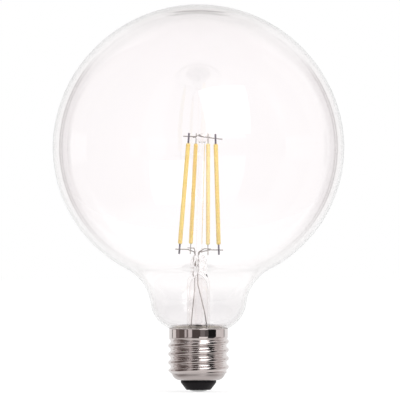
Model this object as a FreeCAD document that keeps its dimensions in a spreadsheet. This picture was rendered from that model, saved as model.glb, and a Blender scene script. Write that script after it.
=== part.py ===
# A clear globe lamp with four light strips on a glass stem and a rolled screw cap.
# Millimetres, +Z up along the lamp's axis, cap down. The origin is the lowest point of the centre contact.

import FreeCAD, Part
import math
import os
from types import SimpleNamespace

import Sketcher

os.makedirs("parts", exist_ok=True)
doc = FreeCAD.newDocument("globe_lamp")
Vector = FreeCAD.Vector
UP = Vector(0, 0, 1)
ACROSS = Vector(0, 1, 0)

# Driving dimensions, in millimetres and degrees
DIMENSIONS = {
    # screw cap, from the foot upwards
    "cap_sheet": 0.3,
    "foot_lip": 0.7,
    "thread_crest_radius": 13.025,
    "thread_depth": 1.045,
    "thread_pitch": 3.629,
    "thread_round": 1.025,
    "thread_flank_angle": 52.25,
    "thread_land": 0.6,
    "thread_start": 2.1,
    "thread_overrun": 2.38,
    "thread_runout": 0.5,
    "thread_zone": 17.5,
    "shoulder_step": 0.68,
    "shoulder_rise": 2.65,
    "shoulder_round": 3.6,
    "skirt_step": 0.405,
    "skirt_length": 4.5,
    "rim_flare": 0.15,
    "rim_length": 0.5,
    # insulator and centre contact
    "insulator_radius": 7.6,
    "insulator_height": 4.14,
    "insulator_straight": 1.0,
    "insulator_tip_radius": 5.2,
    "insulator_flange": 0.6,
    "insulator_flange_height": 1.1,
    "insulator_dish_radius": 3.0,
    "insulator_dish_depth": 1.9,
    "contact_height": 0.86,
    "contact_radius": 3.8,
    "contact_flat_radius": 1.2,
    "contact_edge": 0.15,
    "contact_round": 6.5,
    "eyelet_radius": 1.2,
    "eyelet_bore": 0.7,
    "eyelet_length": 3.6,
    "eyelet_floor": 0.45,
    # blown glass globe, from the neck upwards
    "glass_wall": 0.9,
    "neck_depth": 5.4,
    "neck_waist_round": 1.2,
    "collar_rise": 12.4,
    "collar_centre_radius": 7.28,
    "collar_round": 13.27,
    "collar_end_angle": 6.9,
    "neck_hollow_round": 19.3,
    "side_start_angle": 62.7,
    "side_round": 58.55,
    "crown_start_angle": 18.0,
    "cement_thickness": 1.02,
    "cement_rise": 0.4,
    "cement_height": 2.5,
    # glass stem, from the flare upwards
    "stem_radius": 4.9,
    "stem_wall": 0.9,
    "stem_length": 24.4,
    "press_length": 6.0,
    "pinch_height": 6.5,
    "pinch_width": 10.0,
    "pinch_thickness": 3.6,
    "pinch_side_flat": 0.2,
    "pinch_turn": 106.0,
    "pinch_edge_round": 1.2,
    "stem_bore_straight": 1.0,
    "stem_bore_dome": 4.5,
    "stem_bore_end_radius": 2.6,
    "exhaust_radius": 1.8,
    "exhaust_wall": 0.5,
    "exhaust_below_neck": 3.2,
    "rod_radius": 1.35,
    "rod_depth": 4.0,
    "button_radius": 2.6,
    "button_half_height": 1.9,
    "button_rise": 2.3,
    # the cage of light strips, which leans a little on the stem
    "cage_lean": 1.5,
    "lean_below_pinch": 2.0,
    "cage_turn": 24.0,
    "cage_rise": 4.7,
    "cage_height": 43.2,
    "strip_bottom_radius": 9.07,
    "strip_top_radius": 6.44,
    "strip_width": 1.75,
    "strip_thickness": 1.5,
    "strip_round": 0.6,
    "tab_width": 0.8,
    "tab_thickness": 0.2,
    "tab_length": 4.4,
    # wires of the stem and the cage
    "wire_radius": 0.22,
    "wire_bend": 1.0,
    "wire_overhang": 2.2,
    "left_lead_along": 2.73,
    "right_lead_along": 2.42,
    "lead_off_middle": 1.0,
    "lead_above_pinch": 1.3,
    "lead_bend_radius": 4.6,
    "bottom_weld_drop": 1.8,
    "jumper_drop": 0.5,
    "jumper_foot": 0.3,
    "jumper_bend_radius": 5.5,
    "top_weld_rise": 2.7,
    "top_wire_bridge": 1.2,
    "top_wire_step": 3.1,
    "top_wire_lift": 1.0,
    "top_wire_sag": 0.6,
    # driver in the cap
    "board_width": 15.0,
    "board_thickness": 1.0,
    "board_length": 10.4,
    "board_rise": 2.2,
    "board_offset": 2.3,
    "lead_spread": 6.0,
    "lead_lap": 2.0,
    "lead_rise_in_flare": 0.6,
    "capacitor_radius": 3.8,
    "capacitor_length": 8.2,
    "capacitor_offset": 2.6,
    "capacitor_rise": 0.4,
    "package_thickness": 1.5,
    "package_height": 3.9,
    "package_rise": 3.2,
    "package_pin": 0.4,
    "package_pin_reach": 0.9,
    "rectifier_length": 4.7,
    "rectifier_offset": 6.2,
    "chip_length": 4.9,
    "chip_offset": 0.2,
    "sense_resistor_length": 1.6,
    "sense_resistor_height": 0.8,
    "sense_resistor_thickness": 0.5,
    "sense_resistor_rise": 1.0,
    "resistor_radius": 1.1,
    "resistor_waist": 0.2,
    "resistor_length": 6.0,
    "resistor_offset": 4.3,
    "resistor_rise": 1.2,
    "resistor_stub": 1.4,
    "thin_wire_radius": 0.2,
    "thin_wire_bend": 0.6,
    "contact_wire_rise": 1.6,
    "shell_wire_offset": 6.4,
    "shell_wire_drop": 1.0,
    "shell_wire_stub": 1.8,
    "shell_wire_reach": 3.4,
    "shell_wire_height": 2.0,
    "shell_wire_inset": 0.3,
    "shell_wire_foot_drop": 0.2,
}

sheet = doc.addObject("Spreadsheet::Sheet", "Sizes")
for row, (alias, number) in enumerate(DIMENSIONS.items(), start=1):
    sheet.set(f"A{row}", alias)
    sheet.set(f"B{row}", str(number))
    sheet.setAlias(f"B{row}", alias)
doc.recompute()


class Size:
    """A number together with the sheet expression that gives it."""

    def __init__(self, value, text):
        self.value = value
        self.text = text

    def __add__(self, other):
        other = as_size(other)
        return Size(self.value + other.value, f"({self.text} + {other.text})")

    def __sub__(self, other):
        other = as_size(other)
        return Size(self.value - other.value, f"({self.text} - {other.text})")

    def __mul__(self, other):
        other = as_size(other)
        return Size(self.value * other.value, f"({self.text} * {other.text})")

    def __truediv__(self, other):
        other = as_size(other)
        return Size(self.value / other.value, f"({self.text} / {other.text})")

    def __neg__(self):
        return Size(-self.value, f"(0 - {self.text})")


def as_size(number):
    return number if isinstance(number, Size) else Size(float(number), repr(float(number)))


def cosine(angle):
    return Size(math.cos(math.radians(angle.value)), f"cos({angle.text})")


def sine(angle):
    return Size(math.sin(math.radians(angle.value)), f"sin({angle.text})")


def root(area):
    return Size(math.sqrt(area.value), f"sqrt({area.text})")


s = SimpleNamespace(**{name: Size(float(sheet.get(name)), f"Sizes.{name}") for name in DIMENSIONS})
ZERO = as_size(0)

# Heights and radii that several pieces share
foot_height = s.contact_height + s.insulator_height
shoulder_height = foot_height + s.shoulder_rise
skirt_height = foot_height + s.thread_zone
cap_height = skirt_height + s.skirt_length
thread_root_radius = s.thread_crest_radius - s.thread_depth
skirt_radius = s.thread_crest_radius - s.skirt_step
shoulder_radius = thread_root_radius - s.shoulder_step
foot_radius = s.insulator_radius + s.foot_lip
neck_radius = skirt_radius - s.cap_sheet - s.cement_thickness
neck_end_height = cap_height - s.neck_depth
stem_straight_end = neck_end_height + s.stem_length
pinch_start_height = stem_straight_end + s.press_length
pinch_top_height = pinch_start_height + s.pinch_height
lean_height = pinch_start_height - s.lean_below_pinch
strip_bottom_height = pinch_top_height + s.cage_rise
strip_top_height = strip_bottom_height + s.cage_height
button_height = strip_top_height + s.button_rise


def bind(thing, path, size):
    """Ties one property of a feature to a size."""
    thing.setExpression(path, as_size(size).text)


# Sketches
def origin_plane(body, role):
    return [item for item in body.Origin.OriginFeatures if item.Role == role][0]


def new_sketch(body, name, role, height=None):
    sketch = body.newObject("Sketcher::SketchObject", name)
    sketch.AttachmentSupport = (origin_plane(body, role), "")
    sketch.MapMode = "FlatFace"
    if height is not None:
        bind(sketch, "AttachmentOffset.Base.z", height)
    return sketch


def hold_point(sketch, place, point):
    """Fixes one end of a curve at a point given by two sizes."""
    for kind, axis, size in (("DistanceX", -2, point[0]), ("DistanceY", -1, point[1])):
        if abs(size.value) < 1e-9:
            sketch.addConstraint(Sketcher.Constraint("PointOnObject", place[0], place[1], axis))
        else:
            number = sketch.addConstraint(Sketcher.Constraint(kind, -1, 1, place[0], place[1], size.value))
            bind(sketch, f"Constraints[{number}]", size)


def arc_between(start, end, radius):
    """The short arc from start to end. A positive radius turns left on the way, a negative one right."""
    chord = end - start
    side = Vector(-chord.y, chord.x, 0).normalize()
    depth = math.sqrt(radius * radius - chord.Length**2 / 4)
    centre = (start + end) * 0.5 + side * math.copysign(depth, radius)
    first, last = (start, end) if radius > 0 else (end, start)
    angles = [math.atan2(p.y - centre.y, p.x - centre.x) for p in (first, last)]
    if angles[1] < angles[0]:
        angles[1] += 2 * math.pi
    return Part.ArcOfCircle(Part.Circle(centre, UP, abs(radius)), *angles)


def draw_outline(sketch, corners):
    """Draws one closed outline. A corner is (x, y), or (x, y, radius) where an arc leads to the next."""
    ends = []
    for corner, following in zip(corners, corners[1:] + corners[:1]):
        start = Vector(corner[0].value, corner[1].value, 0)
        end = Vector(following[0].value, following[1].value, 0)
        if len(corner) == 2:
            index = sketch.addGeometry(Part.LineSegment(start, end))
            ends.append(((index, 1), (index, 2)))
            continue
        index = sketch.addGeometry(arc_between(start, end, corner[2].value))
        leftward = corner[2].value > 0
        ends.append(((index, 1), (index, 2)) if leftward else ((index, 2), (index, 1)))
        number = sketch.addConstraint(Sketcher.Constraint("Radius", index, abs(corner[2].value)))
        bind(sketch, f"Constraints[{number}]", corner[2] if leftward else -corner[2])
    for (_, leaving), (arriving, _) in zip(ends, ends[1:] + ends[:1]):
        sketch.addConstraint(Sketcher.Constraint("Coincident", *leaving, *arriving))
    for (place, _), corner in zip(ends, corners):
        hold_point(sketch, place, corner)


def new_body(name):
    body = doc.addObject("PartDesign::Body", name)
    body.Label = name
    return body


def turned(body, name, corners, kind="Revolution"):
    """Turns an outline of (radius, height) corners about the body's Z axis."""
    sketch = new_sketch(body, f"{name}_sketch", "XZ_Plane")
    draw_outline(sketch, corners)
    feature = body.newObject(f"PartDesign::{kind}", name)
    feature.Profile = sketch
    feature.ReferenceAxis = (sketch, ["V_Axis"])
    feature.Angle = 360
    return feature


def padded(body, name, corners, length, height=None):
    sketch = new_sketch(body, f"{name}_sketch", "XY_Plane", height)
    draw_outline(sketch, corners)
    feature = body.newObject("PartDesign::Pad", name)
    feature.Profile = sketch
    bind(feature, "Length", length)
    return feature


def rounded_rectangle(width, depth, corner):
    """Corners of a rectangle about the origin, each rounded, counter-clockwise."""
    x = width / 2
    y = depth / 2
    inner_x = x - corner
    inner_y = y - corner
    return [
        (x, -inner_y),
        (x, inner_y, corner),
        (inner_x, y),
        (-inner_x, y, corner),
        (-x, inner_y),
        (-x, -inner_y, corner),
        (-inner_x, -y),
        (inner_x, -y, corner),
    ]


def cut_from(name, base, tools):
    """A part made of base with the exact shapes of the tools taken out of it."""
    tool = tools[0]
    if len(tools) > 1:
        tool = doc.addObject("Part::Compound", f"{name}_sockets")
        tool.Links = tools
    cut = doc.addObject("Part::Cut", name)
    cut.Base = base
    cut.Tool = tool
    cut.Label = name
    return cut


# Screw cap: a sheet rolled into a round thread, so its inside follows its outside
def thread_solid(name, inset, knees):
    """The solid inside the cap's surface, or inside its inner surface where inset is the sheet."""
    body = new_body(name)
    crest = s.thread_crest_radius - inset
    valley = thread_root_radius - inset
    skirt = skirt_radius - inset
    foot = foot_height + inset
    shoulder = shoulder_radius - inset
    shoulder_top = shoulder_height + inset / 2
    rise = cosine(s.thread_flank_angle) / sine(s.thread_flank_angle)
    thread_foot = shoulder_top + (valley - shoulder) * rise
    clear = crest + s.thread_depth
    turned(
        body,
        f"{name}_core",
        [
            (ZERO, foot),
            (foot_radius, foot, s.shoulder_round - inset),
            (shoulder, shoulder_top),
            (valley, thread_foot),
            (valley, skirt_height - s.thread_runout),
            (skirt, skirt_height),
            (skirt, cap_height - s.rim_length),
            (skirt + s.rim_flare, cap_height + inset),
            (ZERO, cap_height + inset),
        ],
    )
    doc.recompute()
    # The ridge of the thread, with its round crest and root drawn as short flats
    half_pitch = s.thread_pitch / 2
    half_land = s.thread_land / 2
    reach = s.thread_round * sine(s.thread_flank_angle)
    sink = s.thread_round - s.thread_round * cosine(s.thread_flank_angle)
    flank = [(valley, half_pitch - half_land)]
    if knees:
        flank.append((valley + sink, half_pitch - reach))
        flank.append((crest - sink, reach))
    flank.append((crest, half_land))
    buried = valley - s.cap_sheet / 2
    middle = foot_height + s.thread_start
    lower = [(radius, middle - height) for radius, height in flank]
    upper = [(radius, middle + height) for radius, height in reversed(flank)]
    base = half_pitch - half_land
    sketch = new_sketch(body, f"{name}_ridge_sketch", "XZ_Plane")
    draw_outline(sketch, [(buried, middle - base)] + lower + upper + [(buried, middle + base)])
    helix = body.newObject("PartDesign::AdditiveHelix", f"{name}_ridge")
    helix.Profile = sketch
    helix.ReferenceAxis = (sketch, ["V_Axis"])
    helix.Mode = "pitch-turns-angle"
    bind(helix, "Pitch", s.thread_pitch)
    bind(helix, "Turns", (skirt_height + s.thread_overrun - middle) / s.thread_pitch)
    doc.recompute()
    # The thread fades into the shoulder below and the skirt above
    turned(
        body,
        f"{name}_lower_fade",
        [
            (shoulder, shoulder_top),
            (shoulder, foot_height - half_pitch),
            (clear, foot_height - half_pitch),
            (clear, shoulder_top + (clear - shoulder) * rise),
        ],
        "Groove",
    )
    turned(
        body,
        f"{name}_upper_fade",
        [
            (skirt, skirt_height),
            (clear, skirt_height - (clear - skirt) * rise),
            (clear, cap_height - s.rim_length),
            (skirt, cap_height - s.rim_length),
        ],
        "Groove",
    )
    doc.recompute()
    return body


def foot_opening(name):
    """The round opening in the cap's foot, where the insulator comes through."""
    body = new_body(name)
    turned(
        body,
        f"{name}_bore",
        [
            (ZERO, foot_height - s.cap_sheet),
            (s.insulator_radius, foot_height - s.cap_sheet),
            (s.insulator_radius, foot_height + s.cap_sheet * 2),
            (ZERO, foot_height + s.cap_sheet * 2),
        ],
    )
    return body


cap_outside = thread_solid("cap_outside", ZERO, knees=True)
cap_inside = thread_solid("cap_inside", s.cap_sheet, knees=False)
cap_shell = cut_from("cap_shell", cap_outside, [cap_inside, foot_opening("foot_opening")])


# Insulator and centre contact
flange_bottom = foot_height + s.cap_sheet
flange_top = flange_bottom + s.insulator_flange_height
cap_insulator = new_body("cap_insulator")
turned(
    cap_insulator,
    "insulator_turned",
    [
        (s.eyelet_radius, s.contact_height),
        (s.insulator_tip_radius, s.contact_height),
        (s.insulator_radius, foot_height - s.insulator_straight),
        (s.insulator_radius, flange_bottom),
        (s.insulator_radius + s.insulator_flange, flange_bottom),
        (s.insulator_radius + s.insulator_flange, flange_top),
        (s.insulator_dish_radius, flange_top - s.insulator_dish_depth),
        (s.eyelet_radius, flange_top - s.insulator_dish_depth),
    ],
)

centre_contact = new_body("centre_contact")
turned(
    centre_contact,
    "contact_turned",
    [
        (ZERO, ZERO),
        (s.contact_flat_radius, ZERO, s.contact_round),
        (s.contact_radius, s.contact_height - s.contact_edge),
        (s.contact_radius, s.contact_height),
        (s.eyelet_radius, s.contact_height),
        (s.eyelet_radius, s.contact_height + s.eyelet_length),
        (s.eyelet_bore, s.contact_height + s.eyelet_length),
        (s.eyelet_bore, s.eyelet_floor),
        (ZERO, s.eyelet_floor),
    ],
)


# Blown globe: tangent arcs from the neck's waist to the crown, and the same arcs a wall further in
def globe_line(inset):
    """Corners of one side of the wall from the neck's end up to the crown, with the arcs between them."""
    seat = neck_radius - inset
    waist_round = s.neck_waist_round + inset
    collar_round = s.collar_round - inset
    hollow_round = s.neck_hollow_round + inset
    side_round = s.side_round - inset
    collar_z = cap_height + s.collar_rise
    waist_r = neck_radius + s.neck_waist_round
    reach = s.collar_round + s.neck_waist_round
    sideways = waist_r - s.collar_centre_radius
    waist_z = collar_z - root(reach * reach - sideways * sideways)
    share = collar_round / reach
    hollow_reach = s.collar_round + s.neck_hollow_round
    hollow_r = s.collar_centre_radius + hollow_reach * cosine(s.collar_end_angle)
    hollow_z = collar_z - hollow_reach * sine(s.collar_end_angle)
    side_reach = s.neck_hollow_round + s.side_round
    side_r = hollow_r - side_reach * cosine(s.side_start_angle)
    side_z = hollow_z + side_reach * sine(s.side_start_angle)
    crown_round = s.side_round + side_r / cosine(s.crown_start_angle)
    crown_z = side_z - side_r * sine(s.crown_start_angle) / cosine(s.crown_start_angle)
    return [
        (seat, neck_end_height),
        (seat, waist_z, -waist_round),
        (s.collar_centre_radius + sideways * share, collar_z - (collar_z - waist_z) * share, collar_round),
        (
            hollow_r - hollow_round * cosine(s.collar_end_angle),
            hollow_z + hollow_round * sine(s.collar_end_angle),
            -hollow_round,
        ),
        (
            side_r + side_round * cosine(s.side_start_angle),
            side_z - side_round * sine(s.side_start_angle),
            side_round,
        ),
        (
            side_r + side_round * cosine(s.crown_start_angle),
            side_z + side_round * sine(s.crown_start_angle),
            crown_round - inset,
        ),
        (ZERO, crown_z + crown_round - inset),
    ]


def reversed_line(corners):
    """The same line walked the other way, with each arc kept between its own two corners."""
    result = []
    for position in range(len(corners) - 1, -1, -1):
        arc = corners[position - 1][2:] if position > 0 else ()
        result.append(corners[position][:2] + tuple(-radius for radius in arc))
    return result


glass_globe = new_body("glass_globe")
turned(glass_globe, "globe_blown", globe_line(ZERO) + reversed_line(globe_line(s.glass_wall)))

cement_bottom = skirt_height + s.cement_rise
basing_cement = new_body("basing_cement")
turned(
    basing_cement,
    "cement_ring",
    [
        (neck_radius, cement_bottom),
        (skirt_radius - s.cap_sheet, cement_bottom),
        (skirt_radius - s.cap_sheet, cement_bottom + s.cement_height),
        (neck_radius, cement_bottom + s.cement_height),
    ],
)


# Frames in which the stem's parts and the leaning cage are given
LEAN = FreeCAD.Placement(
    Vector(0, 0, 0), FreeCAD.Rotation(ACROSS, s.cage_lean.value), Vector(0, 0, lean_height.value)
)


def leaned(point):
    return LEAN.multVec(point)


def on_cage(azimuth, radius, height, aside=0.0):
    """A point of the leaning cage at an azimuth in degrees, moved aside along the tangent."""
    angle = math.radians(azimuth)
    outward = Vector(math.cos(angle), math.sin(angle), 0)
    tangent = Vector(-math.sin(angle), math.cos(angle), 0)
    return leaned(outward * radius + tangent * aside + UP * height)


# Wires: straight runs joined by tangent arcs, swept with a round section
def bent_wire(name, points, radius, bend):
    edges = []
    start = points[0]
    for before, corner, after in zip(points, points[1:], points[2:]):
        back = (before - corner).normalize()
        ahead = (after - corner).normalize()
        turn = math.pi - back.getAngle(ahead)
        room = 0.45 * min((before - corner).Length, (after - corner).Length)
        trim = min(bend * math.tan(turn / 2), room)
        round_radius = trim / math.tan(turn / 2)
        entry = corner + back * trim
        leave = corner + ahead * trim
        middle = corner + (back + ahead).normalize() * (round_radius / math.cos(turn / 2) - round_radius)
        edges.append(Part.LineSegment(start, entry).toShape())
        edges.append(Part.Arc(entry, middle, leave).toShape())
        start = leave
    edges.append(Part.LineSegment(start, points[-1]).toShape())
    path = Part.Wire(edges)
    section = Part.Wire([Part.Circle(points[0], points[1] - points[0], radius).toShape()])
    wire = doc.addObject("Part::Feature", name)
    wire.Shape = path.makePipeShell([section], True, False)
    wire.Label = name
    drift = wire.Shape.Volume / (math.pi * radius**2 * path.Length) - 1
    print(f"{name}: {path.Length:.1f} mm long, volume off by {100 * drift:.2f} %")
    return wire


wire_radius = s.wire_radius.value
wire_bend = s.wire_bend.value
aside = wire_radius + s.tab_thickness.value / 2
bottom_weld = (strip_bottom_height - s.bottom_weld_drop).value
top_weld = (strip_top_height + s.top_weld_rise).value
bottom_end = (s.strip_bottom_radius + s.wire_overhang).value
top_end = (s.strip_top_radius + s.wire_overhang).value

board_front = s.board_offset.value
board_bottom_height = foot_height + s.cap_sheet + s.insulator_flange_height + s.board_rise
board_top = (board_bottom_height + s.board_length).value
flare_mouth = neck_end_height - s.glass_wall
stem_inner = s.stem_radius - s.stem_wall

# The leads' ways down the flare tube: x and y as shares of its bore, then the share of its height
LEFT_WAY_DOWN = [(-0.42, 0.57, 0.9), (-0.69, 0.45, 0.49), (-0.8, 0.32, 0.31), (-0.85, 0.32, 0.09)]
RIGHT_WAY_DOWN = [(-0.07, -0.6, 1.02), (0.67, -0.48, 0.51), (0.85, -0.15, 0.31), (0.87, 0.05, 0.09)]


def in_pinch(along, height):
    """A point in the pinch, along its width and off its middle plane, on the side where both leads stand."""
    angle = math.radians(s.pinch_turn.value)
    width = Vector(math.cos(angle), math.sin(angle), 0)
    off = Vector(-math.sin(angle), math.cos(angle), 0)
    return width * along + off * s.lead_off_middle.value + UP * height


def in_stem(share_x, share_y, share_up):
    """A point in the flare tube, from shares of its bore and of its height."""
    rise = (stem_straight_end - flare_mouth).value
    bore = stem_inner.value
    return Vector(share_x * bore, share_y * bore, flare_mouth.value + share_up * rise)


def lead_points(along, foot_x, way_down, azimuth):
    """From the board up through the stem and the pinch, then outward to an inner strip's tab."""
    foot_y = board_front - wire_radius
    foot = Vector(foot_x, foot_y, board_top - s.lead_lap.value)
    entry = Vector(foot_x, foot_y, flare_mouth.value - s.lead_rise_in_flare.value)
    above = leaned(in_pinch(along, (pinch_top_height + s.lead_above_pinch).value))
    bend = on_cage(azimuth, s.lead_bend_radius.value, bottom_weld, aside)
    end = on_cage(azimuth, bottom_end, bottom_weld, aside)
    way_up = [in_stem(*shares) for shares in reversed(way_down)]
    return [foot, entry, *way_up, in_pinch(along, lean_height.value), above, bend, end]


def jumper_points(along, azimuth, toward):
    """From beside a lead just above the pinch to an outer strip's tab."""
    direction = math.radians(toward)
    beside = Vector(math.cos(direction), math.sin(direction), 0) * (2 * wire_radius)
    low = (pinch_top_height + s.jumper_foot).value
    high = (pinch_top_height + s.lead_above_pinch).value
    weld = bottom_weld - s.jumper_drop.value
    return [
        leaned(in_pinch(along, low) + beside),
        leaned(in_pinch(along, high) + beside),
        on_cage(azimuth, s.jumper_bend_radius.value, weld, aside),
        on_cage(azimuth, bottom_end, weld, aside),
    ]


# The strips stand evenly round the cage
OUTER_RIGHT, INNER_LEFT, OUTER_LEFT, INNER_RIGHT = (s.cage_turn.value + 360 * n / 4 for n in range(4))
left_along = s.left_lead_along.value
right_along = -s.right_lead_along.value
lead_spread = s.lead_spread.value
LEFT_JUMPER_SIDE = -117
RIGHT_JUMPER_SIDE = 45
left_lead = lead_points(left_along, -lead_spread, LEFT_WAY_DOWN, INNER_LEFT)
right_lead = lead_points(right_along, lead_spread, RIGHT_WAY_DOWN, INNER_RIGHT)
left_jumper = jumper_points(left_along, OUTER_LEFT, LEFT_JUMPER_SIDE)
right_jumper = jumper_points(right_along, OUTER_RIGHT, RIGHT_JUMPER_SIDE)
lead_wire_left = bent_wire("lead_wire_left", left_lead, wire_radius, wire_bend)
lead_wire_right = bent_wire("lead_wire_right", right_lead, wire_radius, wire_bend)
jumper_wire_left = bent_wire("jumper_wire_left", left_jumper, wire_radius, wire_bend)
jumper_wire_right = bent_wire("jumper_wire_right", right_jumper, wire_radius, wire_bend)


def top_wire(name, azimuth, stops):
    """A wire through the button from one strip's tab to the opposite one, through (radius, rise) stops."""
    points = [on_cage(azimuth, radius, top_weld + rise, aside) for radius, rise in stops]
    return bent_wire(name, points, wire_radius, wire_bend)


bridge = s.top_wire_bridge.value
step = s.top_wire_step.value
lift = s.top_wire_lift.value
sag = s.top_wire_sag.value
top_wire_outer = top_wire(
    "top_wire_outer",
    OUTER_RIGHT,
    [
        (-top_end, lift / 5),
        (-step, lift / 5),
        (-bridge, lift),
        (bridge, lift),
        (step + sag, -sag / 6),
        (top_end + lift, -sag),
    ],
)
top_wire_inner = top_wire(
    "top_wire_inner",
    INNER_LEFT,
    [(-top_end, 0), (-step, sag / 6), (step, sag / 6), (top_end, -sag / 6)],
)


# Glass stem: a flared tube, pressed flat at its top round the wires and the rod
flare_edge = neck_radius - s.glass_wall
flare_round = flare_edge - s.stem_radius
flare_z = neck_end_height + flare_round
bore_dome_height = stem_straight_end - s.stem_bore_straight
bore_end_height = bore_dome_height + s.stem_bore_dome
stem_body = new_body("stem_body")
turned(
    stem_body,
    "stem_flare_and_tube",
    [
        (ZERO, neck_end_height - s.stem_wall),
        (neck_radius, neck_end_height - s.stem_wall),
        (neck_radius, neck_end_height),
        (flare_edge, neck_end_height, -flare_round),
        (s.stem_radius, flare_z),
        (s.stem_radius, stem_straight_end),
        (ZERO, stem_straight_end),
    ],
)
tube_end = new_sketch(stem_body, "tube_end_sketch", "XY_Plane", stem_straight_end)
circle = tube_end.addGeometry(Part.Circle(Vector(0, 0, 0), UP, s.stem_radius.value))
tube_end.addConstraint(Sketcher.Constraint("Coincident", circle, 3, -1, 1))
number = tube_end.addConstraint(Sketcher.Constraint("Radius", circle, s.stem_radius.value))
bind(tube_end, f"Constraints[{number}]", s.stem_radius)
pinch_corner = (s.pinch_thickness - s.pinch_side_flat) / 2
pinch_section = rounded_rectangle(s.pinch_width, s.pinch_thickness, pinch_corner)
pinch_start = new_sketch(stem_body, "pinch_start_sketch", "XY_Plane", pinch_start_height)
draw_outline(pinch_start, pinch_section)
bind(pinch_start, "AttachmentOffset.Rotation.Angle", s.pinch_turn)
pinch_start.AttachmentOffset = FreeCAD.Placement(
    Vector(0, 0, pinch_start_height.value), FreeCAD.Rotation(UP, s.pinch_turn.value)
)
press = stem_body.newObject("PartDesign::AdditiveLoft", "stem_press")
press.Profile = tube_end
press.Sections = [pinch_start]
doc.recompute()
pinch = padded(
    stem_body,
    "stem_pinch",
    pinch_section,
    s.pinch_height,
    pinch_start_height,
)
pinch_sketch = pinch.Profile[0]
pinch_sketch.AttachmentOffset = pinch_start.AttachmentOffset
bind(pinch_sketch, "AttachmentOffset.Rotation.Angle", s.pinch_turn)
doc.recompute()
crown_edges = [
    f"Edge{index}"
    for index, edge in enumerate(pinch.Shape.Edges, start=1)
    if all(abs(vertex.Z - pinch_top_height.value) < 1e-4 for vertex in edge.Vertexes)
]
crown = stem_body.newObject("PartDesign::Fillet", "pinch_crown")
crown.Base = (pinch, crown_edges)
bind(crown, "Radius", s.pinch_edge_round)
doc.recompute()
turned(
    stem_body,
    "stem_bore",
    [
        (ZERO, neck_end_height - s.stem_wall),
        (flare_edge, neck_end_height - s.stem_wall, -(flare_round + s.stem_wall)),
        (stem_inner, flare_z),
        (stem_inner, bore_dome_height),
        (s.stem_bore_end_radius, bore_end_height),
        (ZERO, bore_end_height),
    ],
    "Groove",
)

exhaust_tube = new_body("exhaust_tube")
exhaust_inner = s.exhaust_radius - s.exhaust_wall
exhaust_tip = neck_end_height - s.exhaust_below_neck
turned(
    exhaust_tube,
    "exhaust_drawn",
    [
        (ZERO, exhaust_tip),
        (s.exhaust_radius, exhaust_tip + s.exhaust_radius),
        (s.exhaust_radius, bore_end_height),
        (exhaust_inner, bore_end_height),
        (exhaust_inner, exhaust_tip + s.exhaust_radius + s.exhaust_wall),
        (ZERO, exhaust_tip + s.exhaust_wall * 3),
    ],
)

rod_body = new_body("rod_body")
button_square = s.button_radius * s.button_radius
rod_meet = s.button_half_height * root(as_size(1) - s.rod_radius * s.rod_radius / button_square)
button_round = (button_square + s.button_half_height * s.button_half_height) / (s.button_half_height * 2)
turned(
    rod_body,
    "rod_and_button",
    [
        (ZERO, pinch_top_height - s.rod_depth),
        (s.rod_radius, pinch_top_height - s.rod_depth),
        (s.rod_radius, button_height - rod_meet),
        (s.button_radius, button_height - s.button_half_height / 4),
        (s.button_radius, button_height + s.button_half_height / 4, button_round),
        (ZERO, button_height + s.button_half_height),
    ],
)
rod_body.Placement = LEAN
support_rod = cut_from("support_rod", rod_body, [top_wire_outer, top_wire_inner])
glass_stem = cut_from("glass_stem", stem_body, [lead_wire_left, lead_wire_right, rod_body])


# Light strips with a metal tab at each end, four times round the cage
strip_run = s.strip_bottom_radius - s.strip_top_radius
strip_length = root(s.cage_height * s.cage_height + strip_run * strip_run)
strip_tilt = math.degrees(math.atan2(strip_run.value, s.cage_height.value))


def strip_place(azimuth):
    """The frame at a strip's lower end, with Z along the strip and X outward."""
    foot = FreeCAD.Placement(
        Vector(s.strip_bottom_radius.value, 0, strip_bottom_height.value),
        FreeCAD.Rotation(ACROSS, -strip_tilt),
    )
    turned_round = FreeCAD.Placement(Vector(0, 0, 0), FreeCAD.Rotation(UP, azimuth))
    return LEAN.multiply(turned_round).multiply(foot)


def light_strip(number, azimuth):
    body = new_body(f"led_filament_{number}")
    padded(
        body,
        f"strip_{number}",
        rounded_rectangle(s.strip_width, s.strip_thickness, s.strip_round),
        strip_length,
    )
    body.Placement = strip_place(azimuth)
    return body


def metal_tab(name, azimuth, start):
    tab = doc.addObject("Part::Box", name)
    tab.Label = name
    bind(tab, "Length", s.tab_width)
    bind(tab, "Width", s.tab_thickness)
    bind(tab, "Height", s.tab_length)
    corner = FreeCAD.Placement(
        Vector(-s.tab_width.value / 2, -s.tab_thickness.value / 2, start), FreeCAD.Rotation()
    )
    tab.Placement = strip_place(azimuth).multiply(corner)
    return tab


strips = []
for number, azimuth in enumerate([INNER_LEFT, OUTER_LEFT, INNER_RIGHT, OUTER_RIGHT], start=1):
    strips.append(light_strip(number, azimuth))
    strips.append(metal_tab(f"filament_bottom_tab_{number}", azimuth, -s.tab_length.value))
    strips.append(metal_tab(f"filament_top_tab_{number}", azimuth, strip_length.value))


# Driver in the cap: an upright board held by the leads, with its parts soldered to both faces
def block(name, x, y, z, length, width, height):
    """A box from its lowest corner and its sizes, all bound to the sheet."""
    box = doc.addObject("Part::Box", name)
    box.Label = name
    for path, size in (("Length", length), ("Width", width), ("Height", height)):
        bind(box, path, size)
    for path, size in (("x", x), ("y", y), ("z", z)):
        bind(box, f"Placement.Base.{path}", size)
    return box


board_back = s.board_offset + s.board_thickness
driver_board = block(
    "driver_board",
    -(s.board_width / 2),
    s.board_offset,
    board_bottom_height,
    s.board_width,
    s.board_thickness,
    s.board_length,
)


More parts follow.
